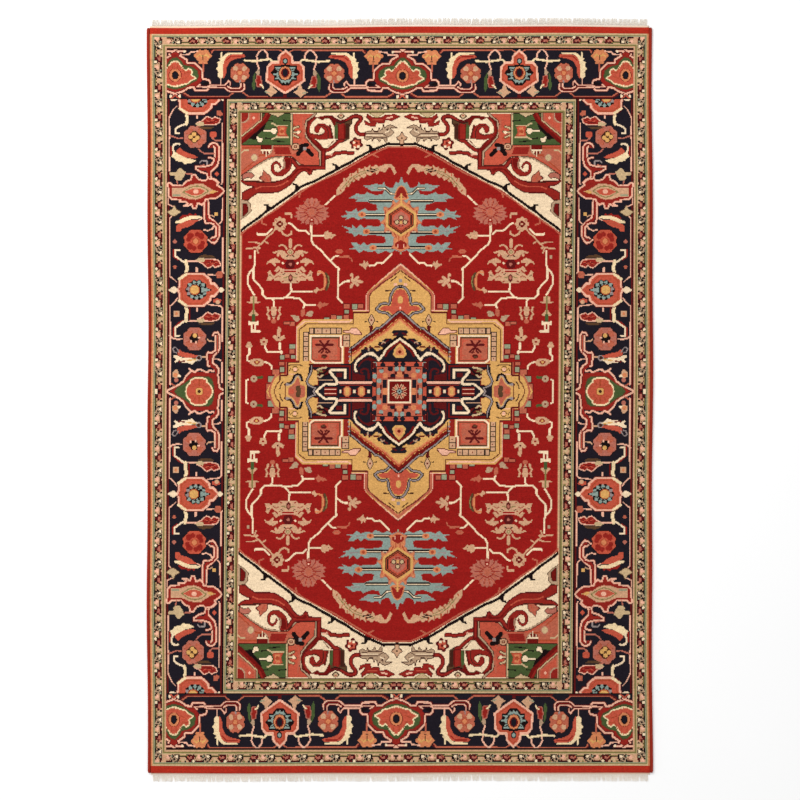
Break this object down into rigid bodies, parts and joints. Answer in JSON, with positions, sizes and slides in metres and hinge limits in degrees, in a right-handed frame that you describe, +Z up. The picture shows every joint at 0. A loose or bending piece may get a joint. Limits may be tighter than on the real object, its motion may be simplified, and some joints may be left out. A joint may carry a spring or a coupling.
{
  "type": "area rug",
  "caption": "Flat rectangular hand-knotted wool rug with a stepped centre medallion, corner spandrels, a navy border between guard stripes, overcast sides and short fringes.",
  "frame": {"origin": "on the floor, under the centre of the rug's outline, fringes included", "axes": "+X across the rug, +Y along the warps towards the end where the weaving finished, +Z up out of the pile"},
  "size_m": [1.83, 2.77, 0.0107],
  "materials": {
    "foundation_cotton": "matt cotton warps and wefts, with the backs of the knots showing underneath",
    "fringe_cotton": "matt undyed cotton, in short flat tassels",
    "selvedge_wool": "overcast red wool cord",
    "end_band_wool": "plain bright red pile",
    "outer_guard_wool": "tan pile with small dark and ivory flower heads between olive lines",
    "main_border_wool": "navy pile with palmettes, rosettes and leaves in salmon, ivory, tan and green",
    "inner_guard_wool": "tan pile with small dark and ivory flower heads between olive lines",
    "field_wool": "madder red pile with ivory vines, palmettes and a blue grey leaf cluster",
    "medallion_wool": "gold pile with a salmon stepped outline and a navy centre",
    "spandrel_wool": "ivory pile with red scrolls and salmon and green panels"
  },
  "bodies": {
    "root": {"foundation": "foundation_cotton", "left_selvedge": "selvedge_wool", "right_selvedge": "selvedge_wool", "lower_fringe": "fringe_cotton", "upper_fringe": "fringe_cotton", "lower_end_band": "end_band_wool", "upper_end_band": "end_band_wool", "left_outer_guard": "outer_guard_wool", "right_outer_guard": "outer_guard_wool", "lower_outer_guard": "outer_guard_wool", "upper_outer_guard": "outer_guard_wool", "left_main_border": "main_border_wool", "right_main_border": "main_border_wool", "lower_main_border": "main_border_wool", "upper_main_border": "main_border_wool", "left_inner_guard": "inner_guard_wool", "right_inner_guard": "inner_guard_wool", "lower_inner_guard": "inner_guard_wool", "upper_inner_guard": "inner_guard_wool", "lower_field": "field_wool", "upper_field": "field_wool", "medallion": "medallion_wool", "lower_left_spandrel": "spandrel_wool", "lower_right_spandrel": "spandrel_wool", "upper_left_spandrel": "spandrel_wool", "upper_right_spandrel": "spandrel_wool"}
  },
  "joints": []
}
